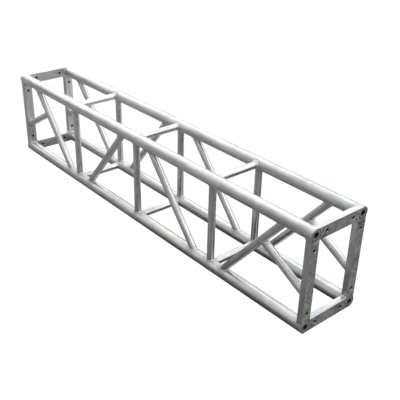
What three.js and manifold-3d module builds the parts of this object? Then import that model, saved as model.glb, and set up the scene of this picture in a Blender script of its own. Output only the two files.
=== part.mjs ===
// Lighting truss section: a welded aluminium box truss, two metres long.
// Millimetres. X runs along the truss, Y across it, Z up. The origin lies under
// the middle of the truss, on the surface that it stands on.

import * as THREE from "three";
import { mergeVertices } from "three/addons/utils/BufferGeometryUtils.js";
import Module from "manifold-3d";

const wasm = await Module();
wasm.setup();

// ---- driving dimensions ----------------------------------------------------

const LENGTH = 2000;            // end face to end face
const CHORD_SPACING_Y = 242;    // chord axis to chord axis, across
const CHORD_SPACING_Z = 375;    // chord axis to chord axis, up
const GAP = 0.3;                // clearance left at every welded joint

const CHORD_DIAMETER = 50;
const CHORD_WALL = 3;
const BRACE_DIAMETER = 30;
const BRACE_WALL = 2;

const FRAME_DEPTH = 25;         // end frame members, along X
const FRAME_WALL = 3;
const LEG_WIDTH = 44;           // upright members, across Y
const RAIL_HEIGHT = 50;         // cross members, flush with the chords

const PLUG_THICKNESS = 10;      // disc that closes each chord end
const PLUG_HOLE = 20;
const BOLT_HOLE = 13;
const LEG_HOLE_SPACING = 255;   // between the two bolt holes of a leg
const RAIL_HOLE_SPACING = 136;  // between the two bolt holes of a rail

const DIAGONAL_RUN = 320;       // how far a diagonal travels along X
const OUTER_FOOT_OFFSET = 60;   // foot of an end bay diagonal, from its post
const INNER_HEAD_OFFSET = 87;   // head of a middle bay diagonal, from the mid post
const KNEE_HEIGHT_ON_DIAGONAL = 62;   // above mid-height
const KNEE_HEIGHT_ON_LEG = -60;       // below mid-height

const CHORD_SIDES = 24;
const BRACE_SIDES = 16;
const HOLE_SIDES = 12;

// ---- sizes that follow -----------------------------------------------------

const CHORD_RADIUS = CHORD_DIAMETER / 2;
const BRACE_RADIUS = BRACE_DIAMETER / 2;
const HALF_LENGTH = LENGTH / 2;
const HALF_Y = CHORD_SPACING_Y / 2;
const LOW_Z = CHORD_RADIUS;
const HIGH_Z = LOW_Z + CHORD_SPACING_Z;
const MID_Z = (LOW_Z + HIGH_Z) / 2;
const FRAME_X = HALF_LENGTH - FRAME_DEPTH / 2;
const BAY = FRAME_X / 2;        // four equal bays between the end frames

// ---- materials -------------------------------------------------------------

function aluminium(color, roughness) {
  return new THREE.MeshStandardMaterial({ color, roughness, metalness: 1 });
}

const chordFinish = () => aluminium(0xc9cbcd, 0.32);
const braceFinish = () => aluminium(0xa9a9a6, 0.38);
const frameFinish = () => aluminium(0x8f9091, 0.45);
const plugFinish = () => aluminium(0x9a9b9d, 0.5);

// ---- solids ----------------------------------------------------------------

function toSolid(geometry) {
  const bare = geometry.clone();
  bare.deleteAttribute("normal");
  bare.deleteAttribute("uv");
  const merged = mergeVertices(bare, 1e-4);
  return new wasm.Manifold(new wasm.Mesh({
    numProp: 3,
    vertProperties: new Float32Array(merged.attributes.position.array),
    triVerts: new Uint32Array(merged.index.array),
  }));
}

function toGeometry(solid) {
  const mesh = solid.getMesh();
  const geometry = new THREE.BufferGeometry();
  geometry.setAttribute("position", new THREE.BufferAttribute(mesh.vertProperties, 3));
  geometry.setIndex(new THREE.BufferAttribute(mesh.triVerts, 1));
  geometry.computeVertexNormals();
  return geometry;
}

// A round bar between two points, with flat ends.
function bar(from, to, radius, sides) {
  const axis = new THREE.Vector3().subVectors(to, from);
  const geometry = new THREE.CylinderGeometry(radius, radius, axis.length(), sides);
  const turn = new THREE.Quaternion().setFromUnitVectors(
    new THREE.Vector3(0, 1, 0), axis.clone().normalize());
  geometry.applyQuaternion(turn);
  geometry.translate((from.x + to.x) / 2, (from.y + to.y) / 2, (from.z + to.z) / 2);
  return toSolid(geometry);
}

function tube(from, to, radius, wall, sides) {
  const reach = new THREE.Vector3().subVectors(to, from).setLength(1);
  const bore = bar(from.clone().sub(reach), to.clone().add(reach), radius - wall, sides);
  return bar(from, to, radius, sides).subtract(bore);
}

function block(width, depth, height, center) {
  const geometry = new THREE.BoxGeometry(width, depth, height);
  geometry.translate(center.x, center.y, center.z);
  return toSolid(geometry);
}

const point = (x, y, z) => new THREE.Vector3(x, y, z);

// The space that a chord takes up, with the joint gap round it.
function chordSpace(y, z) {
  const reach = HALF_LENGTH + 1;
  return bar(point(-reach, y, z), point(reach, y, z), CHORD_RADIUS + GAP, CHORD_SIDES);
}

function copedToChords(solid, places) {
  let cut = solid;
  for (const [y, z] of places) {
    cut = cut.subtract(chordSpace(y, z));
  }
  return cut;
}

// ---- sub-parts -------------------------------------------------------------

const truss = new THREE.Group();

function add(name, solid, material) {
  const mesh = new THREE.Mesh(toGeometry(solid), material);
  mesh.name = name;
  truss.add(mesh);
}

const SIDES = [["front", -HALF_Y], ["back", HALF_Y]];
const LEVELS = [["bottom", LOW_Z], ["top", HIGH_Z]];
const ENDS = [["left", -1], ["right", 1]];
const STATIONS = [["left", -BAY], ["mid", 0], ["right", BAY]];

function chord(y, z) {
  return tube(point(-HALF_LENGTH, y, z), point(HALF_LENGTH, y, z),
    CHORD_RADIUS, CHORD_WALL, CHORD_SIDES);
}

// A disc pressed into the chord's mouth, flush with its end, with a bolt hole.
function plug(end, y, z) {
  const face = point(end * HALF_LENGTH, y, z);
  const back = point(end * (HALF_LENGTH - PLUG_THICKNESS), y, z);
  const disc = bar(back, face, CHORD_RADIUS - CHORD_WALL - GAP, CHORD_SIDES);
  const hole = bar(point(back.x - end, y, z), point(face.x + end, y, z),
    PLUG_HOLE / 2, HOLE_SIDES);
  return disc.subtract(hole);
}

function boltHole(end, y, z) {
  const inner = point(end * (HALF_LENGTH - FRAME_DEPTH - 1), y, z);
  const outer = point(end * (HALF_LENGTH + 1), y, z);
  return bar(inner, outer, BOLT_HOLE / 2, HOLE_SIDES);
}

// An upright rectangular tube between the two chords of a side face.
function endLeg(end, y) {
  const center = point(end * FRAME_X, y, MID_Z);
  const shell = block(FRAME_DEPTH, LEG_WIDTH, CHORD_SPACING_Z, center);
  const inside = block(FRAME_DEPTH - 2 * FRAME_WALL, LEG_WIDTH - 2 * FRAME_WALL,
    CHORD_SPACING_Z + 2, center);
  const coped = copedToChords(shell.subtract(inside), [[y, LOW_Z], [y, HIGH_Z]]);
  return coped
    .subtract(boltHole(end, y, MID_Z - LEG_HOLE_SPACING / 2))
    .subtract(boltHole(end, y, MID_Z + LEG_HOLE_SPACING / 2));
}

// A rectangular tube across the end, between the front and back chords. Its ends
// are notched round the legs, which reach the chords first.
function endRail(end, z) {
  const center = point(end * FRAME_X, 0, z);
  const shell = block(FRAME_DEPTH, CHORD_SPACING_Y, RAIL_HEIGHT, center);
  const inside = block(FRAME_DEPTH - 2 * FRAME_WALL, CHORD_SPACING_Y + 2,
    RAIL_HEIGHT - 2 * FRAME_WALL, center);
  let coped = copedToChords(shell.subtract(inside), [[-HALF_Y, z], [HALF_Y, z]]);
  for (const y of [-HALF_Y, HALF_Y]) {
    const legSpace = block(FRAME_DEPTH + 2, LEG_WIDTH + 2 * GAP, CHORD_SPACING_Z,
      point(end * FRAME_X, y, MID_Z));
    coped = coped.subtract(legSpace);
  }
  return coped
    .subtract(boltHole(end, -RAIL_HOLE_SPACING / 2, z))
    .subtract(boltHole(end, RAIL_HOLE_SPACING / 2, z));
}

function post(x, y) {
  const upright = tube(point(x, y, LOW_Z), point(x, y, HIGH_Z),
    BRACE_RADIUS, BRACE_WALL, BRACE_SIDES);
  return copedToChords(upright, [[y, LOW_Z], [y, HIGH_Z]]);
}

function rung(x, z) {
  const cross = tube(point(x, -HALF_Y, z), point(x, HALF_Y, z),
    BRACE_RADIUS, BRACE_WALL, BRACE_SIDES);
  return copedToChords(cross, [[-HALF_Y, z], [HALF_Y, z]]);
}

// Foot and head of each side-face diagonal on the right half; the left mirrors it.
const OUTER_FOOT_X = BAY + OUTER_FOOT_OFFSET;
const OUTER_HEAD_X = OUTER_FOOT_X + DIAGONAL_RUN;
const INNER_HEAD_X = INNER_HEAD_OFFSET;
const INNER_FOOT_X = INNER_HEAD_X + DIAGONAL_RUN;

function diagonal(end, footX, headX, y) {
  const slanted = tube(point(end * footX, y, LOW_Z), point(end * headX, y, HIGH_Z),
    BRACE_RADIUS, BRACE_WALL, BRACE_SIDES);
  return copedToChords(slanted, [[y, LOW_Z], [y, HIGH_Z]]);
}

// A short strut from the end bay diagonal to the inside face of the end leg.
function knee(end, y) {
  const rise = (KNEE_HEIGHT_ON_DIAGONAL + CHORD_SPACING_Z / 2) / CHORD_SPACING_Z;
  const onDiagonal = point(end * (OUTER_FOOT_X + rise * DIAGONAL_RUN), y,
    MID_Z + KNEE_HEIGHT_ON_DIAGONAL);
  const onLeg = point(end * FRAME_X, y, MID_Z + KNEE_HEIGHT_ON_LEG);
  const strut = tube(onDiagonal, onLeg, BRACE_RADIUS, BRACE_WALL, BRACE_SIDES);
  const diagonalSpace = bar(point(end * OUTER_FOOT_X, y, LOW_Z),
    point(end * OUTER_HEAD_X, y, HIGH_Z), BRACE_RADIUS + GAP, BRACE_SIDES);
  const legSpace = block(FRAME_DEPTH + 2 * GAP, LEG_WIDTH, CHORD_SPACING_Z,
    point(end * FRAME_X, y, MID_Z));
  return strut.subtract(diagonalSpace).subtract(legSpace);
}

// ---- assembly --------------------------------------------------------------

for (const [side, y] of SIDES) {
  for (const [level, z] of LEVELS) {
    add(`chord_${level}_${side}`, chord(y, z), chordFinish());
    for (const [endName, end] of ENDS) {
      add(`chord_plug_${level}_${side}_${endName}`, plug(end, y, z), plugFinish());
    }
  }
  for (const [endName, end] of ENDS) {
    add(`end_leg_${side}_${endName}`, endLeg(end, y), frameFinish());
    add(`diagonal_outer_${side}_${endName}`,
      diagonal(end, OUTER_FOOT_X, OUTER_HEAD_X, y), braceFinish());
    add(`diagonal_inner_${side}_${endName}`,
      diagonal(end, INNER_FOOT_X, INNER_HEAD_X, y), braceFinish());
    add(`knee_brace_${side}_${endName}`, knee(end, y), braceFinish());
  }
  for (const [station, x] of STATIONS) {
    add(`post_${side}_${station}`, post(x, y), braceFinish());
  }
}

for (const [level, z] of LEVELS) {
  for (const [endName, end] of ENDS) {
    add(`end_rail_${level}_${endName}`, endRail(end, z), frameFinish());
  }
  for (const [station, x] of STATIONS) {
    add(`rung_${level}_${station}`, rung(x, z), braceFinish());
  }
}

export default truss;
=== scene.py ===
"""A welded aluminium lighting truss section, two metres long, in a pale studio.

Metres, in the CAD frame: X along the truss, Y across it, Z up. Every tube, plug and
weld bead is built here as fine geometry around the places that the frame gives.
"""
import math

import bmesh
import bpy
import numpy as np
from mathutils import Matrix, Vector
from mathutils.kdtree import KDTree


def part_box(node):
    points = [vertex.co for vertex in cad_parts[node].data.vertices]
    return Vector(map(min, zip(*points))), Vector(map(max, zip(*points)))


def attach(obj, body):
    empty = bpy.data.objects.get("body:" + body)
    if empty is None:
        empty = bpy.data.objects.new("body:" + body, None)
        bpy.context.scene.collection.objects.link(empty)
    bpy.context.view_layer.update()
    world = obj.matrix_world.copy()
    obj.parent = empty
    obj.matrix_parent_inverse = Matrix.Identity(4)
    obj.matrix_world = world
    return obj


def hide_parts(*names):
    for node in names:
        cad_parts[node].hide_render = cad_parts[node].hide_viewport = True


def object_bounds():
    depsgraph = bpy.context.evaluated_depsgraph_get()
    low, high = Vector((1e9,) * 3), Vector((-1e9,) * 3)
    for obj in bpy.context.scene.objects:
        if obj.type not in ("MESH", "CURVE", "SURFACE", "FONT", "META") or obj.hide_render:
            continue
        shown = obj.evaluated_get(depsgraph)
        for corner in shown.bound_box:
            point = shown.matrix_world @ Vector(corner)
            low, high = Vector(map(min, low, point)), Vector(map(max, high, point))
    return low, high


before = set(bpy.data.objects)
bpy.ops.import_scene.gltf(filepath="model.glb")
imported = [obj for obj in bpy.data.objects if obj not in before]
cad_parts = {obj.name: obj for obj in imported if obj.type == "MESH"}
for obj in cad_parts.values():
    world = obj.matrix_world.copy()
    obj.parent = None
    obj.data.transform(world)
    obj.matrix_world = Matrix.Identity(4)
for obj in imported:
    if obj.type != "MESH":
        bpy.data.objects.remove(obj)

cad_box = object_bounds()

# ---- sizes ------------------------------------------------------------------

MM = 0.001


def span(node):
    """A node's centre and size, from the frame."""
    low, high = (np.array(corner, float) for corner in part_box(node))
    return (low + high) / 2, high - low


chord_mid, chord_size = span("chord_top_front")
low_chord_mid = span("chord_bottom_front")[0]
post_mid, post_size = span("post_front_right")
leg_mid, leg_size = span("end_leg_front_right")
rail_mid, rail_size = span("end_rail_top_right")
plug_size = span("chord_plug_top_front_right")[1]

HALF_LENGTH = chord_size[0] / 2
CHORD_RADIUS = chord_size[2] / 2
CHORD_Y = abs(chord_mid[1])
LEVELS = {"bottom": low_chord_mid[2], "top": chord_mid[2]}
SIDES = {"front": -CHORD_Y, "back": CHORD_Y}
ENDS = {"left": -1, "right": 1}
MID_Z = sum(LEVELS.values()) / 2
SPACING_Z = LEVELS["top"] - LEVELS["bottom"]
BAY = post_mid[0]
STATIONS = {"left": -BAY, "mid": 0.0, "right": BAY}
BRACE_RADIUS = post_size[0] / 2
FRAME_DEPTH = leg_size[0]
FRAME_X = abs(leg_mid[0])
FRAME_INNER_X = HALF_LENGTH - FRAME_DEPTH
LEG_WIDTH = leg_size[1]
RAIL_HEIGHT = rail_size[2]
PLUG_DEPTH = plug_size[0]

CHORD_WALL = 3 * MM
BRACE_WALL = 2 * MM
FRAME_WALL = 3 * MM
PLUG_HOLE_RADIUS = 10 * MM
BOLT_HOLE_RADIUS = 6.5 * MM
LEG_HOLE_SPACING = 255 * MM
RAIL_HOLE_SPACING = 136 * MM
DIAGONAL_RUN = 320 * MM
OUTER_FOOT_X = BAY + 60 * MM
INNER_HEAD_X = 87 * MM
KNEE_Z_ON_DIAGONAL = MID_Z + 62 * MM
KNEE_Z_ON_LEG = MID_Z - 60 * MM

SINK = 0.4 * MM            # how far a tube's end runs into what it is welded to
WELD_LEG = 4.2 * MM        # length of a fillet bead's leg
WELD_PITCH = 4.0 * MM      # from one ripple of a bead to the next
WELD_LEG_NARROW = 3.2 * MM # on the flush seam, and
WELD_LEG_EDGE = 4 * MM     # up the outer edge of an end leg
BEAD_SAMPLES = 5           # samples along a bead in each ripple
CLEAR_OF_BOX = 0.05 * MM   # how far the beads stay inside the CAD model's box
CHORD_BEVEL = 0.9 * MM
CHORD_SEGMENTS = 72
BRACE_SEGMENTS = 56
HOLE_SEGMENTS = 40
CHORD_RING_STEP = 12.5 * MM
SHARP_DEGREES = 35         # a wider angle between two faces shows as an edge
SHARP_DEGREES_BEAD = 75
PATTERN_STEP = np.array((0.37, 0.053, 0.031))   # no two pieces share a pattern
HEAT_REACH = 0.2           # weld_gap goes no higher than this
X_AXIS, Y_AXIS, Z_AXIS = np.eye(3)

# ---- meshes -----------------------------------------------------------------

weld_points = []           # centre line of every bead, for the heat marks round it


def unit(vector):
    return vector / np.linalg.norm(vector, axis=-1, keepdims=True)


def side_axes(axis):
    """Two unit vectors square to an axis and to each other."""
    helper = Y_AXIS if abs(axis[2]) > 0.9 else Z_AXIS
    across = unit(np.cross(helper, axis))
    return across, np.cross(axis, across)


def make_object(name, points, faces, sharp_degrees=SHARP_DEGREES):
    mesh = bpy.data.meshes.new(name)
    mesh.from_pydata([tuple(p) for p in points], [], faces)
    mesh.validate()
    mesh.shade_smooth()
    mesh.set_sharp_from_angle(angle=math.radians(sharp_degrees))
    piece = bpy.data.objects.new(name, mesh)
    bpy.context.scene.collection.objects.link(piece)
    return piece


def loft(loops, closed_way=False):
    """Quads between successive closed loops of points, with the points in one list."""
    rows, columns = loops.shape[:2]
    index = np.arange(rows * columns).reshape(rows, columns)
    faces = []
    for row in range(rows if closed_way else rows - 1):
        here, there = index[row], index[(row + 1) % rows]
        for column in range(columns):
            after = (column + 1) % columns
            quad = (here[column], here[after], there[after], there[column])
            faces.append(tuple(int(i) for i in quad))
    return loops.reshape(-1, 3), faces


def lathe(name, centre, axis, outline, segments):
    """A closed outline of (distance along, radius) pairs, turned about an axis."""
    across, other = side_axes(axis)
    turn = np.arange(segments) * 2 * math.pi / segments
    radial = np.outer(np.cos(turn), across) + np.outer(np.sin(turn), other)
    loops = np.array([centre + axis * along + radial * radius for along, radius in outline])
    points, faces = loft(loops, closed_way=True)
    return make_object(name, points, faces)


# ---- tubes cut to fit -------------------------------------------------------

def leave_cylinder(points, direction, centre, axis, radius):
    """How far each point goes along a direction before it comes out of a cylinder."""
    offset = points - centre
    offset = offset - np.outer(offset @ axis, axis)
    step = direction - (direction @ axis) * axis
    a = step @ step
    b = offset @ step
    c = (offset ** 2).sum(1) - radius ** 2
    return (-b + np.sqrt(np.maximum(b * b - a * c, 0))) / a


def out_of_chord(y, z):
    """The cut that fits a tube's end on a chord."""
    centre = np.array((0, y, z))

    def reach(points, direction):
        return leave_cylinder(points, direction, centre, X_AXIS, CHORD_RADIUS - SINK)
    return reach


def out_of_tube(centre, axis, radius):
    def reach(points, direction):
        return leave_cylinder(points, direction, centre, axis, radius - SINK)
    return reach


def up_to_plane_x(x):
    def reach(points, direction):
        return (x - points[:, 0]) / direction[0]
    return reach


def round_profile(radius, segments=BRACE_SEGMENTS):
    turn = (np.arange(segments) + 0.5) * 2 * math.pi / segments
    return np.stack((np.cos(turn), np.sin(turn)), 1) * radius


def box_profile(width, height, corner, cells=7):
    """A rounded rectangle. Close rows beside each corner keep the flats flat."""
    corners = np.array(((1, 1), (-1, 1), (-1, -1), (1, -1)))
    centres = corners * (np.array((width, height)) / 2 - corner)
    points = []
    for quarter in range(4):
        for step in range(5):
            angle = math.pi / 2 * quarter + math.pi / 2 * step / 4
            outward = corner * np.array((math.cos(angle), math.sin(angle)))
            points.append(centres[quarter] + outward)
        start = points[-1]
        stop = centres[(quarter + 1) % 4] + outward
        length = np.linalg.norm(stop - start)
        rows = [min(0.6 * MM / length, 0.1)]
        rows += [(cell + 1) / (cells + 1) for cell in range(cells)]
        rows += [1 - rows[0]]
        points += [start + (stop - start) * row for row in rows]
    return np.array(points)


END_ROWS = (0, 2 * MM, 5 * MM, 9 * MM, 15 * MM, 24 * MM, 40 * MM)


def fitted_wall(profile, start, stop, cut_start, cut_stop, middle_rows=5):
    """Loops of points along a tube's wall, with both ends cut to fit."""
    axis = unit(stop - start)
    across, other = side_axes(axis)
    ring = profile[:, :1] * across + profile[:, 1:] * other
    length = np.linalg.norm(stop - start)
    first = cut_start(start + ring, axis)
    last = length - cut_stop(stop + ring, -axis)
    loops = []
    ends = [row for row in END_ROWS if row < (last - first).min() * 0.4]
    for row in ends:
        loops.append(first + row)
    for row in range(1, middle_rows + 1):
        near, far = first + ends[-1], last - ends[-1]
        loops.append(near + (far - near) * row / (middle_rows + 1))
    for row in reversed(ends):
        loops.append(last - row)
    return np.array([start + ring + np.outer(along, axis) for along in loops])


def fitted_tube(name, profile, bore, start, stop, cut_start, cut_stop):
    """A hollow tube whose outer and inner walls are both cut to fit at each end."""
    skin = fitted_wall(profile, start, stop, cut_start, cut_stop)
    lining = fitted_wall(bore, start, stop, cut_start, cut_stop)
    lining = lining[[0, len(lining) // 2, -1]]
    points, faces = loft(np.concatenate((skin, lining[::-1])), closed_way=True)
    return make_object(name, points, faces)


# ---- weld beads -------------------------------------------------------------

bead_count = 0


def bead_loops(centre, toe_a, toe_b, lift, legs, run, closed):
    """Loops of a rippled bead. centre, toe_a, toe_b and lift have one row per sample:
    a toe is the direction from the root of the joint to an edge of the bead."""
    global bead_count
    bead_count += 1
    draw = np.random.default_rng(bead_count)
    phases = draw.uniform(0, 2 * math.pi, 4)
    length = run[-1] + (run[1] - run[0] if closed else 0)
    swell = sum(np.sin(run / length * 2 * math.pi * (k + 2) + phases[k]) for k in range(4))
    leg_a = legs * (1 + 0.045 * swell)
    leg_b = legs * (1 - 0.035 * np.roll(swell, 7))
    ripples = max(round(length / WELD_PITCH), 1)
    across = np.linspace(0, 1, 8)
    loops = []
    for share in across:
        straight = centre + toe_a * (leg_a * (1 - share))[:, None] + toe_b * (leg_b * share)[:, None]
        crown = math.sin(math.pi * share)
        phase = run / length * ripples + 0.42 * crown
        ripple = np.abs(np.sin(math.pi * phase)) ** 0.75
        height = legs * (crown * 0.16 + (0.03 + 0.13 * crown) * (ripple - 0.35))
        loops.append(straight + lift * height[:, None])
    root = centre - lift * (0.25 * legs)[:, None]
    loops.append(root)
    return np.array(loops).transpose(1, 0, 2)


def bead_mesh(loops, closed):
    """One closed bead, with a cap on each end unless it runs right round."""
    points, faces = loft(loops, closed_way=closed)
    if not closed:
        count = loops.shape[1]
        last = (loops.shape[0] - 1) * count
        faces.append(tuple(range(count))[::-1])
        faces.append(tuple(last + i for i in range(count)))
    return points, faces


def place_bead(beads, centre, normal_a, normal_b, toe_a, toe_b, legs, closed):
    """Adds one bead to a list, and its centre line to the heat marks."""
    steps = np.linalg.norm(np.diff(centre, axis=0), axis=1)
    run = np.concatenate(([0], np.cumsum(steps)))
    lift = unit(normal_a + normal_b)
    sunk = centre - lift * 0.3 * MM
    beads.append(bead_mesh(bead_loops(sunk, toe_a, toe_b, lift, legs, run, closed), closed))
    weld_points.extend(centre + lift * 2 * MM)


def weld_object(name, beads, slot):
    """Joins several beads into one piece."""
    points, faces, first = [], [], 0
    for bead_points, bead_faces in beads:
        points.append(bead_points)
        faces += [tuple(first + i for i in face) for face in bead_faces]
        first += len(bead_points)
    low, high = (np.array(corner) for corner in cad_box)
    inside = np.clip(np.concatenate(points), low + CLEAR_OF_BOX, high - CLEAR_OF_BOX)
    piece = make_object(name, inside, faces, SHARP_DEGREES_BEAD)
    fix_normals(piece)
    finish_piece(piece, X_AXIS, np.zeros(3), slot)
    piece.data.materials.append(materials["weld"])
    return piece


def fix_normals(piece):
    """Turns every closed shell's faces outward."""
    mesh = bmesh.new()
    mesh.from_mesh(piece.data)
    bmesh.ops.recalc_face_normals(mesh, faces=mesh.faces)
    mesh.to_mesh(piece.data)
    mesh.free()


def ring_bead(beads, start, direction, radius, other_centre, other_axis, other_radius):
    """A bead right round a round tube, where it meets another round tube."""
    across, other = side_axes(direction)

    def curve(turn):
        radial = np.outer(np.cos(turn), across) + np.outer(np.sin(turn), other)
        base = start + radial * radius
        reach = leave_cylinder(base, direction, other_centre, other_axis, other_radius)
        return base + np.outer(reach, direction), radial

    dense = np.linspace(0, 2 * math.pi, 721)
    path = curve(dense)[0]
    run = np.concatenate(([0], np.cumsum(np.linalg.norm(np.diff(path, axis=0), axis=1))))
    samples = round(run[-1] / WELD_PITCH) * BEAD_SAMPLES
    even = np.interp(np.arange(samples) / samples * run[-1], run, dense)
    centre, normal_a = curve(even)
    offset = centre - other_centre
    normal_b = unit(offset - np.outer(offset @ other_axis, other_axis))
    facing = (normal_a * normal_b).sum(1, keepdims=True)
    away = normal_a - facing * normal_b
    slack = np.linalg.norm(away, axis=1)
    toe_b = away / np.maximum(slack, 0.25)[:, None]
    toe_a = np.repeat(direction[None, :], samples, 0)
    legs = WELD_LEG * np.clip(slack / 0.5, 0.35, 1)
    place_bead(beads, centre, normal_a, normal_b, toe_a, toe_b, legs, closed=True)


def straight_bead(beads, start, stop, normal_a, normal_b, toe_a, toe_b, leg=WELD_LEG):
    """A bead along a straight seam."""
    length = np.linalg.norm(stop - start)
    samples = max(round(length / WELD_PITCH), 2) * BEAD_SAMPLES + 1
    share = np.linspace(0, 1, samples)
    centre = start + np.outer(share, stop - start)
    legs = leg * np.clip(np.sin(math.pi * share) * 3 + 0.35, 0, 1)
    rows = [np.repeat(v[None, :], samples, 0) for v in (normal_a, normal_b, toe_a, toe_b)]
    place_bead(beads, centre, *rows, legs, closed=False)


# ---- finishing a piece ------------------------------------------------------

piece_count = 0
fine_pieces = []           # the pieces that get the heat marks of the welds


def finish_piece(piece, axis, origin, slot, *nodes):
    """Gives a piece its pattern coordinates, hangs it under the root body, and hides the parts of
    the frame that it stands for.
    """
    global piece_count
    piece_count += 1
    across, other = side_axes(axis)
    offset = PATTERN_STEP * piece_count
    mesh = piece.data
    points = np.empty(len(mesh.vertices) * 3)
    mesh.vertices.foreach_get("co", points)
    points = points.reshape(-1, 3)
    local = (points - origin) @ np.stack((axis, across, other), 1) + offset
    flow = mesh.attributes.new("flow", "FLOAT_VECTOR", "POINT")
    flow.data.foreach_set("vector", local.ravel())
    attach(piece, "root")
    if nodes:
        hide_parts(*nodes)
        fine_pieces.append(piece)


def mark_heat():
    """Stores each point's distance from the nearest weld."""
    tree = KDTree(len(weld_points))
    for index, point in enumerate(weld_points):
        tree.insert(point, index)
    tree.balance()
    for piece in fine_pieces:
        mesh = piece.data
        gaps = [min(tree.find(v.co)[2], HEAT_REACH) for v in mesh.vertices]
        heat = mesh.attributes.new("weld_gap", "FLOAT", "POINT")
        heat.data.foreach_set("value", gaps)


# ---- materials --------------------------------------------------------------

class Shader:
    """Short names for the node graph of one material."""

    def __init__(self, name):
        self.material = bpy.data.materials.new(name)
        self.material.use_nodes = True
        self.tree = self.material.node_tree
        self.surface = self.tree.nodes["Principled BSDF"]

    def put(self, socket, value):
        if isinstance(value, bpy.types.NodeSocket):
            self.tree.links.new(value, socket)
        else:
            socket.default_value = value

    def attribute(self, name, kind):
        node = self.tree.nodes.new("ShaderNodeAttribute")
        node.attribute_name = name
        return node.outputs[kind]

    def along_x(self, value):
        node = self.tree.nodes.new("ShaderNodeCombineXYZ")
        self.put(node.inputs[0], value)
        return node.outputs[0]

    def stretch(self, vector, scale):
        node = self.tree.nodes.new("ShaderNodeVectorMath")
        node.operation = "MULTIPLY"
        self.put(node.inputs[0], vector)
        self.put(node.inputs[1], scale)
        return node.outputs[0]

    def noise(self, vector, detail=3.0, roughness=0.55, distortion=0.0):
        node = self.tree.nodes.new("ShaderNodeTexNoise")
        self.put(node.inputs["Vector"], vector)
        node.inputs["Scale"].default_value = 1.0
        node.inputs["Detail"].default_value = detail
        node.inputs["Roughness"].default_value = roughness
        node.inputs["Distortion"].default_value = distortion
        return node.outputs["Fac"]

    def math(self, operation, a, b=0.0, clamp=False):
        node = self.tree.nodes.new("ShaderNodeMath")
        node.operation = operation
        node.use_clamp = clamp
        self.put(node.inputs[0], a)
        self.put(node.inputs[1], b)
        return node.outputs[0]

    def between(self, value, low, high, to_low=0.0, to_high=1.0):
        node = self.tree.nodes.new("ShaderNodeMapRange")
        node.interpolation_type = "SMOOTHSTEP"
        self.put(node.inputs["Value"], value)
        for key, number in zip(("From Min", "From Max", "To Min", "To Max"),
                               (low, high, to_low, to_high)):
            self.put(node.inputs[key], number)
        return node.outputs["Result"]

    def mix(self, share, a, b, blend="MIX"):
        node = self.tree.nodes.new("ShaderNodeMix")
        node.data_type = "RGBA"
        node.blend_type = blend
        sockets = [s for s in node.inputs if s.type == "RGBA"]
        self.put(node.inputs[0], share)
        self.put(sockets[0], a)
        self.put(sockets[1], b)
        return [s for s in node.outputs if s.type == "RGBA"][0]

    def bump(self, height, depth, strength=1.0, normal=None):
        node = self.tree.nodes.new("ShaderNodeBump")
        node.inputs["Strength"].default_value = strength
        node.inputs["Distance"].default_value = depth
        self.put(node.inputs["Height"], height)
        if normal:
            self.put(node.inputs["Normal"], normal)
        return node.outputs["Normal"]


def grey(level, warmth=0.0):
    return (level * (1 + warmth), level, level * (1 - warmth), 1.0)


def drawn_aluminium(name, level, roughness, lines, blotches, warmth=0.0, heat=True):
    """Mill finish aluminium: drawing lines along the tube, stains, and beside each weld
    a frosted band with a sooty line in it."""
    s = Shader(name)
    flow = s.attribute("flow", "Vector")
    hairs = s.noise(s.stretch(flow, (5, 1500, 1500)), detail=2)
    bands = s.noise(s.stretch(flow, (2.5, 75, 75)), detail=3, roughness=0.6)
    stains = s.noise(s.stretch(flow, (11, 30, 30)), detail=5, roughness=0.62, distortion=0.4)
    clouds = s.noise(s.stretch(flow, (6.0, 14, 14)), detail=2)
    specks = s.noise(s.stretch(flow, (260, 420, 420)), detail=2)

    tone = s.math("ADD", s.between(bands, 0.33, 0.67, 1 - lines, 1 + lines),
                  s.between(stains, 0.33, 0.67, -blotches, blotches))
    tone = s.math("ADD", tone, s.between(specks, 0.66, 0.78, 0.0, -0.10))
    colour = s.mix(s.between(clouds, 0.35, 0.65), grey(level, warmth - 0.030),
                   grey(level * 0.985, warmth + 0.026))
    colour = s.mix(1.0, colour, tone, "MULTIPLY")

    by_stains, by_hairs, by_bands = 0.14, 0.07, 0.12      # of the roughness
    dull = s.math("ADD", roughness - 0.5 * by_stains, s.math("MULTIPLY", stains, by_stains))
    dull = s.math("ADD", dull, s.math("MULTIPLY", hairs, by_hairs))
    dull = s.math("ADD", dull, s.math("MULTIPLY", s.math("SUBTRACT", bands, 0.5), by_bands))
    if heat:
        ragged = s.math("ADD", s.attribute("weld_gap", "Fac"),
                        s.math("MULTIPLY", s.math("SUBTRACT", stains, 0.5), 0.03))
        frost = s.between(ragged, 6 * MM, 26 * MM, 1.0, 0.0)
        soot = s.math("MULTIPLY", s.between(ragged, 3 * MM, 7 * MM),
                      s.between(ragged, 7 * MM, 13 * MM, 1.0, 0.0))
        colour = s.mix(s.math("MULTIPLY", frost, 0.35), colour, grey(level * 0.90, 0.008))
        colour = s.mix(s.math("MULTIPLY", soot, 0.30), colour, grey(level * 0.45, 0.02))
        dull = s.math("ADD", dull, s.math("MULTIPLY", frost, 0.12))
    s.put(s.surface.inputs["Base Color"], colour)
    s.put(s.surface.inputs["Roughness"], dull)
    s.surface.inputs["Metallic"].default_value = 1.0
    lined = s.bump(hairs, 0.05 * MM, 0.35)
    s.put(s.surface.inputs["Normal"], s.bump(bands, 0.12 * MM, 0.35, lined))
    return s.material


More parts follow.
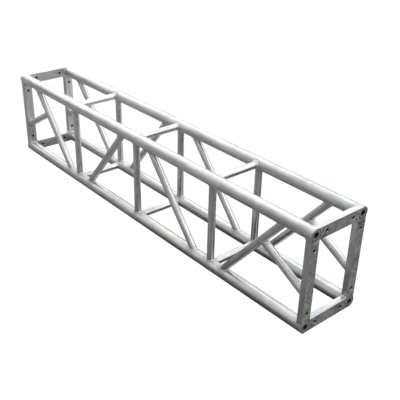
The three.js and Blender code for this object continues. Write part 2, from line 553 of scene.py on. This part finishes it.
def ground_face(name, level, roughness):
    """An end face dressed flat with a disc: short crossing scratches and grey smears,
    and brighter and darker blotches where the corner welds were ground flush."""
    s = Shader(name)
    flow = s.attribute("flow", "Vector")
    one_way = s.noise(s.stretch(flow, (90, 90, 1300)), detail=2, distortion=0.6)
    other_way = s.noise(s.stretch(flow, (90, 1300, 90)), detail=2, distortion=0.6)
    smears = s.noise(s.stretch(flow, (30, 30, 30)), detail=5, roughness=0.65, distortion=0.5)
    wide = s.noise(s.stretch(flow, (9, 9, 9)), detail=2)
    scratches = s.math("MULTIPLY", s.math("ADD", one_way, other_way), 0.5)
    tone = s.math("ADD", 0.80, s.math("MULTIPLY", scratches, 0.16))
    tone = s.math("ADD", tone, s.between(smears, 0.3, 0.7, -0.20, 0.22))
    tone = s.math("ADD", tone, s.between(wide, 0.3, 0.7, -0.11, 0.11))
    spots = s.between(s.noise(s.stretch(flow, (95, 95, 95)), detail=3), 0.38, 0.62, -0.60, 0.60)
    near_weld = s.between(s.attribute("weld_gap", "Fac"), 8 * MM, 45 * MM, 0.8, 0.12)
    tone = s.math("ADD", tone, s.math("MULTIPLY", near_weld, spots))
    s.put(s.surface.inputs["Base Color"], s.mix(1.0, grey(level, 0.014), tone, "MULTIPLY"))
    dull = s.math("ADD", roughness, s.math("MULTIPLY", smears, 0.16))
    s.put(s.surface.inputs["Roughness"], dull)
    s.surface.inputs["Metallic"].default_value = 1.0
    s.put(s.surface.inputs["Normal"], s.bump(scratches, 0.06 * MM, 0.5))
    return s.material


def turned_face(name, level, roughness):
    """A plug turned on a lathe: fine rings, with a stain round the hole."""
    s = Shader(name)
    radius = s.attribute("radial", "Fac")
    flow = s.attribute("flow", "Vector")
    rings = s.noise(s.stretch(s.along_x(radius), (2600, 0, 0)), detail=1)
    smears = s.noise(s.stretch(flow, (60, 60, 60)), detail=4)
    tone = s.math("ADD", 0.82, s.math("MULTIPLY", rings, 0.18))
    tone = s.math("ADD", tone, s.between(smears, 0.3, 0.7, -0.10, 0.08))
    stain = s.between(radius, PLUG_HOLE_RADIUS, PLUG_HOLE_RADIUS * 1.35, 0.55, 1.0)
    tone = s.math("MULTIPLY", tone, stain)
    s.put(s.surface.inputs["Base Color"], s.mix(1.0, grey(level), tone, "MULTIPLY"))
    s.put(s.surface.inputs["Roughness"], s.math("ADD", roughness, s.math("MULTIPLY", smears, 0.12)))
    s.surface.inputs["Metallic"].default_value = 1.0
    s.put(s.surface.inputs["Normal"], s.bump(rings, 0.05 * MM, 0.5))
    return s.material


def bore_painted_shade(name, level):
    """The inside of a tube or hole: painted shade, a dark rough grey where no light gets to."""
    s = Shader(name)
    flow = s.attribute("flow", "Vector")
    scale = s.noise(s.stretch(flow, (40, 120, 120)), detail=4)
    tone = s.between(scale, 0.25, 0.75, 0.6, 1.2)
    s.put(s.surface.inputs["Base Color"], s.mix(1.0, grey(level), tone, "MULTIPLY"))
    s.put(s.surface.inputs["Roughness"], s.math("ADD", 0.6, s.math("MULTIPLY", scale, 0.2)))
    s.surface.inputs["Metallic"].default_value = 1.0
    s.put(s.surface.inputs["Normal"], s.bump(scale, 0.1 * MM, 0.5))
    return s.material


# level, roughness, and for drawn metal the strengths of its lines and its blotches
materials = {
    "chord": drawn_aluminium("chord_drawn_aluminium", 0.77, 0.30, 0.15, 0.13, warmth=-0.005),
    "brace": drawn_aluminium("brace_drawn_aluminium", 0.82, 0.25, 0.10, 0.11, warmth=0.01),
    "frame": drawn_aluminium("frame_extruded_aluminium", 0.76, 0.33, 0.09, 0.14, warmth=0.006),
    "ground": ground_face("end_face_ground_aluminium", 0.74, 0.46),
    "plug": turned_face("plug_turned_aluminium", 0.80, 0.38),
    "weld": drawn_aluminium("weld_bead_aluminium", 0.78, 0.38, 0.03, 0.09, heat=False),
    # the bore's low level is painted shade for the insides of tubes and bolt holes
    "bore": bore_painted_shade("bore_painted_shade_aluminium", 0.10),
}

# ---- chords and plugs -------------------------------------------------------

def chord(level, side):
    node = f"chord_{level}_{side}"
    centre = np.array((0, SIDES[side], LEVELS[level]))
    outer, inner, bevel = CHORD_RADIUS, CHORD_RADIUS - CHORD_WALL, CHORD_BEVEL
    count = round(2 * HALF_LENGTH / CHORD_RING_STEP)
    outline = [(-HALF_LENGTH, inner + bevel), (-HALF_LENGTH, outer - bevel),
               (-HALF_LENGTH + bevel * 0.3, outer - bevel * 0.3), (-HALF_LENGTH + bevel, outer)]
    outline += [(-HALF_LENGTH + i * CHORD_RING_STEP, outer) for i in range(1, count)]
    outline += [(HALF_LENGTH - bevel, outer), (HALF_LENGTH - bevel * 0.3, outer - bevel * 0.3),
                (HALF_LENGTH, outer - bevel), (HALF_LENGTH, inner + bevel)]
    outline += [(HALF_LENGTH - bevel, inner), (0, inner), (-HALF_LENGTH + bevel, inner)]
    piece = lathe(f"{node}_tube", centre, X_AXIS, outline, CHORD_SEGMENTS)
    finish_piece(piece, X_AXIS, centre, "chord_tube", node)
    dress(piece, "chord", bore_of_round(centre, X_AXIS, inner + bevel), in_end_plane)


def in_end_plane(face):
    return abs(face.normal[0]) > 0.9 and abs(face.center[0]) > HALF_LENGTH - 0.1 * MM


def dress(piece, skin, is_bore, is_end=None):
    """Gives a piece its materials: the skin, the bore's painted shade, and the end plane's."""
    for name in (skin, "bore", "ground"):
        piece.data.materials.append(materials[name])
    for face in piece.data.polygons:
        if is_bore(np.array(face.center), np.array(face.normal)):
            face.material_index = 1
        elif is_end and is_end(face):
            face.material_index = 2


def bore_of_round(start, axis, radius):
    """Tells the faces of a round bore from the rest of a tube."""
    def is_bore(centre, normal):
        offset = centre - start
        offset = offset - (offset @ axis) * axis
        return np.linalg.norm(offset) < radius and normal @ unit(offset) < -0.5
    return is_bore


def plug(level, side, end):
    node = f"chord_plug_{level}_{side}_{end}"
    sign = ENDS[end]
    outer, hole = plug_size[2] / 2, PLUG_HOLE_RADIUS
    outline = [(-PLUG_DEPTH, hole), (-PLUG_DEPTH, outer), (-0.9 * MM, outer),
               (-0.3 * MM, outer - 0.2 * MM), (0, outer - 0.8 * MM), (0, (outer + hole) / 2),
               (0, hole + 1.2 * MM), (-0.4 * MM, hole + 0.5 * MM), (-1.2 * MM, hole),
               (-PLUG_DEPTH / 2, hole)]
    centre = np.array((sign * HALF_LENGTH, SIDES[side], LEVELS[level]))
    piece = lathe(f"{node}_disc", centre, X_AXIS * sign, outline[::-1], CHORD_SEGMENTS)
    fix_normals(piece)
    finish_piece(piece, X_AXIS * sign, centre, "chord_plug", node)
    radial = [math.hypot(v.co[1] - centre[1], v.co[2] - centre[2]) for v in piece.data.vertices]
    piece.data.attributes.new("radial", "FLOAT", "POINT").data.foreach_set("value", radial)
    dress(piece, "plug", bore_of_round(centre, X_AXIS, PLUG_HOLE_RADIUS + 0.3 * MM))


# ---- braces -----------------------------------------------------------------

def chord_weld(beads, start, direction, y, z):
    centre = np.array((0, y, z))
    ring_bead(beads, start, direction, BRACE_RADIUS, centre, X_AXIS, CHORD_RADIUS)


def brace(node, start, stop, chord_start, chord_stop):
    """A round tube between two chords, given as (y, z), with a bead at each end."""
    piece = fitted_tube(f"{node}_tube", round_profile(BRACE_RADIUS),
                        round_profile(BRACE_RADIUS - BRACE_WALL), start, stop,
                        out_of_chord(*chord_start), out_of_chord(*chord_stop))
    axis = unit(stop - start)
    fix_normals(piece)
    finish_piece(piece, axis, start, "brace_tube", node)
    dress(piece, "brace", bore_of_round(start, axis, BRACE_RADIUS - 0.5 * BRACE_WALL))
    beads = []
    chord_weld(beads, start, axis, *chord_start)
    chord_weld(beads, stop, -axis, *chord_stop)
    weld_object(f"weld_{node}", beads, "brace_tube")


def side_brace(node, foot_x, head_x, side):
    """A post or diagonal in a side face, from the bottom chord up to the top one."""
    y = SIDES[side]
    low, high = LEVELS["bottom"], LEVELS["top"]
    brace(node, np.array((foot_x, y, low)), np.array((head_x, y, high)), (y, low), (y, high))


def rung(level, station):
    x, z = STATIONS[station], LEVELS[level]
    front, back = SIDES["front"], SIDES["back"]
    brace(f"rung_{level}_{station}", np.array((x, front, z)), np.array((x, back, z)),
          (front, z), (back, z))


def knee(side, end):
    """A short strut from the end bay's diagonal to the inner face of the end leg."""
    node = f"knee_brace_{side}_{end}"
    sign, y = ENDS[end], SIDES[side]
    rise = (KNEE_Z_ON_DIAGONAL - LEVELS["bottom"]) / SPACING_Z
    foot = np.array((sign * OUTER_FOOT_X, y, LEVELS["bottom"]))
    head = np.array((sign * (OUTER_FOOT_X + DIAGONAL_RUN), y, LEVELS["top"]))
    start = foot + (head - foot) * rise
    stop = np.array((sign * FRAME_X, y, KNEE_Z_ON_LEG))
    axis, diagonal_axis = unit(stop - start), unit(head - foot)
    leg_face = sign * FRAME_INNER_X
    piece = fitted_tube(f"{node}_tube", round_profile(BRACE_RADIUS),
                        round_profile(BRACE_RADIUS - BRACE_WALL), start, stop,
                        out_of_tube(foot, diagonal_axis, BRACE_RADIUS),
                        up_to_plane_x(leg_face + sign * SINK))
    fix_normals(piece)
    finish_piece(piece, axis, start, "brace_tube", node)
    dress(piece, "brace", bore_of_round(start, axis, BRACE_RADIUS - 0.5 * BRACE_WALL))

    beads = []
    ring_bead(beads, start, axis, BRACE_RADIUS, foot, diagonal_axis, BRACE_RADIUS)
    across, other = side_axes(axis)
    samples = BEAD_SAMPLES * round(2 * math.pi * BRACE_RADIUS / WELD_PITCH)
    turn = np.arange(samples) * 2 * math.pi / samples
    radial = np.outer(np.cos(turn), across) + np.outer(np.sin(turn), other)
    base = start + radial * BRACE_RADIUS
    centre = base + np.outer((leg_face - base[:, 0]) / axis[0], axis)
    face_normal = np.repeat(-sign * X_AXIS[None, :], samples, 0)
    away = radial - np.outer(radial @ X_AXIS, X_AXIS)
    place_bead(beads, centre, radial, face_normal, np.repeat(-axis[None, :], samples, 0),
               unit(away), np.full(samples, WELD_LEG), closed=True)
    weld_object(f"weld_{node}", beads, "brace_tube")


# ---- end frames -------------------------------------------------------------

CORNER = 2.6 * MM          # outside corner radius of the frame's tubes, and
LINING_CORNER = 1.2 * MM   # the inside one
PAST_RAIL_DEGREES = 62     # where the bead round a chord stops


def bore_holes(piece, centres):
    """Cuts bolt holes along X, with a small countersink where each breaks a face."""
    lip = 0.7 * MM
    over = 1.0 * MM            # how far the cutter stands past the face
    half, radius = FRAME_DEPTH / 2, BOLT_HOLE_RADIUS
    for number, centre in enumerate(centres):
        outline = [(-half - over, radius + lip + over), (-half + lip, radius),
                   (half - lip, radius), (half + over, radius + lip + over)]
        turn = np.arange(HOLE_SEGMENTS) * 2 * math.pi / HOLE_SEGMENTS
        radial = np.outer(np.cos(turn), Y_AXIS) + np.outer(np.sin(turn), Z_AXIS)
        loops = np.array([centre + X_AXIS * a + radial * r for a, r in outline])
        points, faces = loft(loops)
        faces.append(tuple(range(HOLE_SEGMENTS))[::-1])
        faces.append(tuple(range(len(points) - HOLE_SEGMENTS, len(points))))
        cutter = make_object(f"cutter_{number}", points, faces)
        fix_normals(cutter)
        cut = piece.modifiers.new("bolt_hole", "BOOLEAN")
        cut.operation = "DIFFERENCE"
        cut.solver = "EXACT"
        cut.object = cutter
        bpy.context.view_layer.update()
        result = piece.evaluated_get(bpy.context.evaluated_depsgraph_get())
        bored = bpy.data.meshes.new_from_object(result)
        piece.modifiers.clear()
        old = piece.data
        piece.data = bored
        bpy.data.meshes.remove(old)
        bpy.data.objects.remove(cutter)
    piece.data.shade_smooth()
    piece.data.set_sharp_from_angle(angle=math.radians(SHARP_DEGREES))


def bore_of_frame(holes, across, width):
    """Tells the lining of a frame tube, and the walls of its bolt holes, from its skin.
    across is the axis, Y or Z, that the tube's width lies along."""
    half_depth, half_width = (FRAME_DEPTH - FRAME_WALL) / 2, (width - FRAME_WALL) / 2

    def is_bore(centre, normal):
        offset = centre - holes[0]
        lining = abs(offset[0]) < half_depth and abs(offset[across]) < half_width
        gap = min(np.linalg.norm((centre - hole)[1:]) for hole in holes)
        in_hole = gap < BOLT_HOLE_RADIUS + 0.1 * MM and abs(normal[0]) < 0.5
        return lining or in_hole
    return is_bore


def end_leg(side, end):
    node = f"end_leg_{side}_{end}"
    x, y = ENDS[end] * FRAME_X, SIDES[side]
    start, stop = np.array((x, y, LEVELS["bottom"])), np.array((x, y, LEVELS["top"]))
    wall = 2 * FRAME_WALL
    piece = fitted_tube(f"{node}_tube", box_profile(FRAME_DEPTH, LEG_WIDTH, CORNER),
                        box_profile(FRAME_DEPTH - wall, LEG_WIDTH - wall, LINING_CORNER),
                        start, stop, out_of_chord(y, start[2]), out_of_chord(y, stop[2]))
    fix_normals(piece)
    holes = [np.array((x, y, MID_Z + up * LEG_HOLE_SPACING / 2)) for up in (-1, 1)]
    bore_holes(piece, holes)
    finish_piece(piece, Z_AXIS, start, "end_frame_tube", node)
    dress(piece, "frame", bore_of_frame(holes, 1, LEG_WIDTH), in_end_plane)


def end_rail(level, end):
    node = f"end_rail_{level}_{end}"
    x, z = ENDS[end] * FRAME_X, LEVELS[level]
    leg_side = 1 if level == "bottom" else -1
    start, stop = np.array((x, -CHORD_Y, z)), np.array((x, CHORD_Y, z))

    def cut(y):
        off_chord = out_of_chord(y, z)

        def reach(points, direction):
            along = off_chord(points, direction)
            beside_leg = (points[:, 2] - z) * leg_side > 0
            return np.where(beside_leg, np.maximum(along, LEG_WIDTH / 2 - SINK), along)
        return reach

    wall = 2 * FRAME_WALL
    piece = fitted_tube(f"{node}_tube", box_profile(FRAME_DEPTH, RAIL_HEIGHT, CORNER),
                        box_profile(FRAME_DEPTH - wall, RAIL_HEIGHT - wall, LINING_CORNER),
                        start, stop, cut(-CHORD_Y), cut(CHORD_Y))
    fix_normals(piece)
    holes = [np.array((x, way * RAIL_HOLE_SPACING / 2, z)) for way in (-1, 1)]
    bore_holes(piece, holes)
    finish_piece(piece, Y_AXIS, start, "end_frame_tube", node)
    dress(piece, "frame", bore_of_frame(holes, 2, RAIL_HEIGHT), in_end_plane)


def corner_welds(level, side, end):
    """The beads that join a chord, a leg and a rail. The end face is ground flush."""
    sign = ENDS[end]
    up = 1 if level == "top" else -1
    out = -1 if side == "front" else 1
    centre = np.array((0, SIDES[side], LEVELS[level]))
    half_leg, half_rail = LEG_WIDTH / 2, RAIL_HEIGHT / 2
    drop = math.sqrt(CHORD_RADIUS ** 2 - half_leg ** 2)
    inner_x, outer_x = sign * FRAME_INNER_X, sign * (HALF_LENGTH - 1.5 * MM)
    beads = []

    # round the chord on the frame's inner face, from the leg's outer edge past the rail
    begin = math.pi - math.atan2(-drop, half_leg)
    finish = math.radians(360 + PAST_RAIL_DEGREES)
    samples = BEAD_SAMPLES * round((finish - begin) * CHORD_RADIUS / WELD_PITCH) + 1
    turn = np.linspace(begin, finish, samples)
    radial = np.outer(np.cos(turn), -out * Y_AXIS) + np.outer(np.sin(turn), up * Z_AXIS)
    ring = centre + X_AXIS * inner_x + radial * CHORD_RADIUS
    inward = np.repeat(-sign * X_AXIS[None, :], samples, 0)
    share = np.linspace(0, 1, samples)
    legs = WELD_LEG * np.clip(np.sin(math.pi * share) * 8 + 0.3, 0, 1)
    place_bead(beads, ring, radial, inward, inward, radial, legs, closed=False)

    # up the outer edge of the leg, and in the corner between leg and rail
    normal_a, normal_b = out * Y_AXIS, unit(np.array((0, out * half_leg, -up * drop)))
    toe_b = unit(normal_a - (normal_a @ normal_b) * normal_b)
    seam = centre + np.array((0, out * half_leg, -up * drop))
    straight_bead(beads, seam + X_AXIS * inner_x, seam + X_AXIS * outer_x,
                  normal_a, normal_b, -up * Z_AXIS, toe_b, WELD_LEG_EDGE)
    inside = centre + np.array((0, -out * half_leg, -up * half_rail))
    straight_bead(beads, inside + X_AXIS * inner_x, inside + X_AXIS * outer_x,
                  -out * Y_AXIS, -up * Z_AXIS, -up * Z_AXIS, -out * Y_AXIS)

    # the flush seam between leg and rail on the inner face
    seam = centre + np.array((inner_x, -out * half_leg, 0))
    straight_bead(beads, seam - up * Z_AXIS * (drop + 3 * MM), seam - up * Z_AXIS * half_rail,
                  -sign * X_AXIS, -sign * X_AXIS, -Y_AXIS, Y_AXIS, WELD_LEG_NARROW)
    weld_object(f"weld_corner_{level}_{side}_{end}", beads, "end_frame_tube")


# ---- assembly ---------------------------------------------------------------

for side in SIDES:
    for level in LEVELS:
        chord(level, side)
        for end in ENDS:
            plug(level, side, end)
            corner_welds(level, side, end)
    for end, sign in ENDS.items():
        end_leg(side, end)
        side_brace(f"diagonal_outer_{side}_{end}", sign * OUTER_FOOT_X,
                   sign * (OUTER_FOOT_X + DIAGONAL_RUN), side)
        side_brace(f"diagonal_inner_{side}_{end}", sign * (INNER_HEAD_X + DIAGONAL_RUN),
                   sign * INNER_HEAD_X, side)
        knee(side, end)
    for station, x in STATIONS.items():
        side_brace(f"post_{side}_{station}", x, x, side)
for level in LEVELS:
    for end in ENDS:
        end_rail(level, end)
    for station in STATIONS:
        rung(level, station)
mark_heat()

# ---- studio -----------------------------------------------------------------

SEEN_WHITE = 1.05          # strength of the white that the camera sees
FLOOR_GREY = 0.11          # what the metal mirrors of it, away from the pool of light
FLOOR_FRONT, FLOOR_LEFT, FLOOR_POOL = 0.1, 0.1, 0.6    # painted light: paler than that by this much
FRONT_FROM, FRONT_TO = 0.6, -1.0                       # along Y
LEFT_FROM, LEFT_TO = 1.3, -1.3                         # along X
POOL_PLACE = (-0.5, 0.9, 0)
POOL_CORE, POOL_EDGE = 0.2, 1.3
PAINTED_SHADOW_UNDER_TRUSS = 0.25        # painted shadow: how much darker the floor is under and beside the truss
FLOOR_SIZE = 60

WARM, COOL = (1.1, 1.0, 0.9), (0.92, 1.0, 1.08)
EVEN_GREY = (0.22, 0.2, 0.17)
SKY = (                    # toward, cosines of its edge and core, strength, tint
    ((0, 0, 1), 0.0, 0.9, 0.4, COOL),
    ((-0.9, 0.1, 0.4), 0.8, 0.95, 0.8, WARM),
    ((0.25, 0.6, 0.75), 0.2, 0.95, 0.6, COOL),
    ((0.6, 0.4, 0.7), 0.9, 0.98, 0.35, WARM),
    ((0.95, 0.2, 0.25), 0.6, 0.95, 0.3, COOL),
    ((-0.7, 0.65, 0.3), 0.7, 0.95, 0.45, COOL),
    ((-0.65, -0.7, 0.3), 0.8, 0.95, 0.12, COOL),
)


def studio_floor():
    """A plain floor, white to the camera. The metal mirrors it as a grey with painted light,
    paler toward the front and the left, with a painted pool of light behind the truss's left half
    and a painted shadow under and beside the truss."""
    bpy.ops.mesh.primitive_plane_add(size=FLOOR_SIZE, location=(0, 0, 0))
    floor = bpy.context.object
    floor.name = "studio_floor"
    s = Shader("floor_pale_grey")
    nodes, links = s.tree.nodes, s.tree.links
    place = nodes.new("ShaderNodeTexCoord").outputs["Object"]
    split = nodes.new("ShaderNodeSeparateXYZ")
    links.new(place, split.inputs[0])
    from_pool = nodes.new("ShaderNodeVectorMath")
    from_pool.operation = "DISTANCE"
    links.new(place, from_pool.inputs[0])
    from_pool.inputs[1].default_value = POOL_PLACE
    x, y = split.outputs["X"], split.outputs["Y"]
    # painted light: the floor's grey pales toward the front and the left, and a painted pool of
    # light lies behind the truss
    shade = s.between(y, FRONT_FROM, FRONT_TO, FLOOR_GREY, FLOOR_GREY + FLOOR_FRONT)
    shade = s.math("ADD", shade, s.between(x, LEFT_FROM, LEFT_TO, 0.0, FLOOR_LEFT))
    pool = s.between(from_pool.outputs["Value"], POOL_EDGE, POOL_CORE, 0.0, FLOOR_POOL)
    shade = s.math("ADD", shade, pool)
    # painted shadow of the truss on the floor, which the metal mirrors
    under = s.math("MULTIPLY", s.between(s.math("ABSOLUTE", y), 0.25, 0.15),
                   s.between(s.math("ABSOLUTE", x), 1.01, 0.97))
    clear_of_painted_shadow = s.math("SUBTRACT", 1.0, s.math("MULTIPLY", under, PAINTED_SHADOW_UNDER_TRUSS))
    shade = s.math("MULTIPLY", shade, clear_of_painted_shadow)
    s.put(s.surface.inputs["Base Color"], s.mix(shade, (0, 0, 0, 1), (1, 1, 1, 1)))
    s.surface.inputs["Roughness"].default_value = 1.0
    s.surface.inputs["Specular IOR Level"].default_value = 0.0
    glow = nodes.new("ShaderNodeEmission")
    glow.inputs["Strength"].default_value = SEEN_WHITE
    seen = nodes.new("ShaderNodeLightPath").outputs["Is Camera Ray"]
    blend = nodes.new("ShaderNodeMixShader")
    links.new(seen, blend.inputs[0])
    links.new(s.surface.outputs[0], blend.inputs[1])
    links.new(glow.outputs[0], blend.inputs[2])
    links.new(blend.outputs[0], nodes["Material Output"].inputs["Surface"])
    floor.data.materials.append(s.material)


def studio_sky():
    """A grey tent, with soft patches of light on it. A wide cool one is high behind the
    truss, and a warm one is low beyond its left end. The camera sees plain white."""
    world = bpy.data.worlds.new("studio_tent")
    bpy.context.scene.world = world
    world.use_nodes = True
    tree = world.node_tree
    direction = tree.nodes.new("ShaderNodeTexCoord").outputs["Generated"]

    def patch(toward, edge, core, strength, colour):
        """Light that grows from nothing at the edge to its strength at the core."""
        dot = tree.nodes.new("ShaderNodeVectorMath")
        dot.operation = "DOT_PRODUCT"
        tree.links.new(direction, dot.inputs[0])
        dot.inputs[1].default_value = Vector(toward).normalized()
        ramp = tree.nodes.new("ShaderNodeMapRange")
        ramp.interpolation_type = "SMOOTHSTEP"
        tree.links.new(dot.outputs["Value"], ramp.inputs["Value"])
        for key, number in zip(("From Min", "From Max", "To Min", "To Max"),
                               (edge, core, 0.0, strength)):
            ramp.inputs[key].default_value = number
        node = tree.nodes.new("ShaderNodeBackground")
        node.inputs["Color"].default_value = (*colour, 1)
        tree.links.new(ramp.outputs["Result"], node.inputs["Strength"])
        return node.outputs[0]

    even = tree.nodes["Background"]
    even.inputs["Color"].default_value = (*EVEN_GREY, 1)
    even.inputs["Strength"].default_value = 1.0
    total = even.outputs[0]
    for light in SKY:
        both = tree.nodes.new("ShaderNodeAddShader")
        tree.links.new(total, both.inputs[0])
        tree.links.new(patch(*light), both.inputs[1])
        total = both.outputs[0]
    plain = tree.nodes.new("ShaderNodeBackground")
    plain.inputs["Color"].default_value = (1, 1, 1, 1)
    plain.inputs["Strength"].default_value = SEEN_WHITE
    seen = tree.nodes.new("ShaderNodeLightPath").outputs["Is Camera Ray"]
    blend = tree.nodes.new("ShaderNodeMixShader")
    tree.links.new(seen, blend.inputs[0])
    tree.links.new(total, blend.inputs[1])
    tree.links.new(plain.outputs[0], blend.inputs[2])
    tree.links.new(blend.outputs[0], tree.nodes["World Output"].inputs["Surface"])


studio_floor()
studio_sky()


def photo_camera():
    """The camera looks down on the truss from its right front, slightly rolled."""
    azimuth, elevation, roll = (math.radians(a) for a in (49.15, 28.25, 1.48))
    distance, shift_right, shift_up = 2.974, 0.181, -0.13
    back = Vector((math.sin(azimuth) * math.cos(elevation),
                   -math.cos(azimuth) * math.cos(elevation), math.sin(elevation)))
    level_right = Vector((math.cos(azimuth), math.sin(azimuth), 0))
    level_up = back.cross(level_right)
    right = level_right * math.cos(roll) + level_up * math.sin(roll)
    up = back.cross(right)
    camera_data = bpy.data.cameras.new("photo_camera")
    camera_data.lens = 60
    camera_data.sensor_width = 36
    camera = bpy.data.objects.new("photo_camera", camera_data)
    bpy.context.scene.collection.objects.link(camera)
    place = Vector((0, 0, MID_Z)) + back * distance + right * shift_right + up * shift_up
    camera.matrix_world = Matrix.Translation(place) @ Matrix((right, up, back)).transposed().to_4x4()
    bpy.context.scene.camera = camera


photo_camera()
bpy.context.scene.view_settings.view_transform = "Standard"

# ---- last update of the view layer ------------------------------------------

bpy.context.view_layer.update()
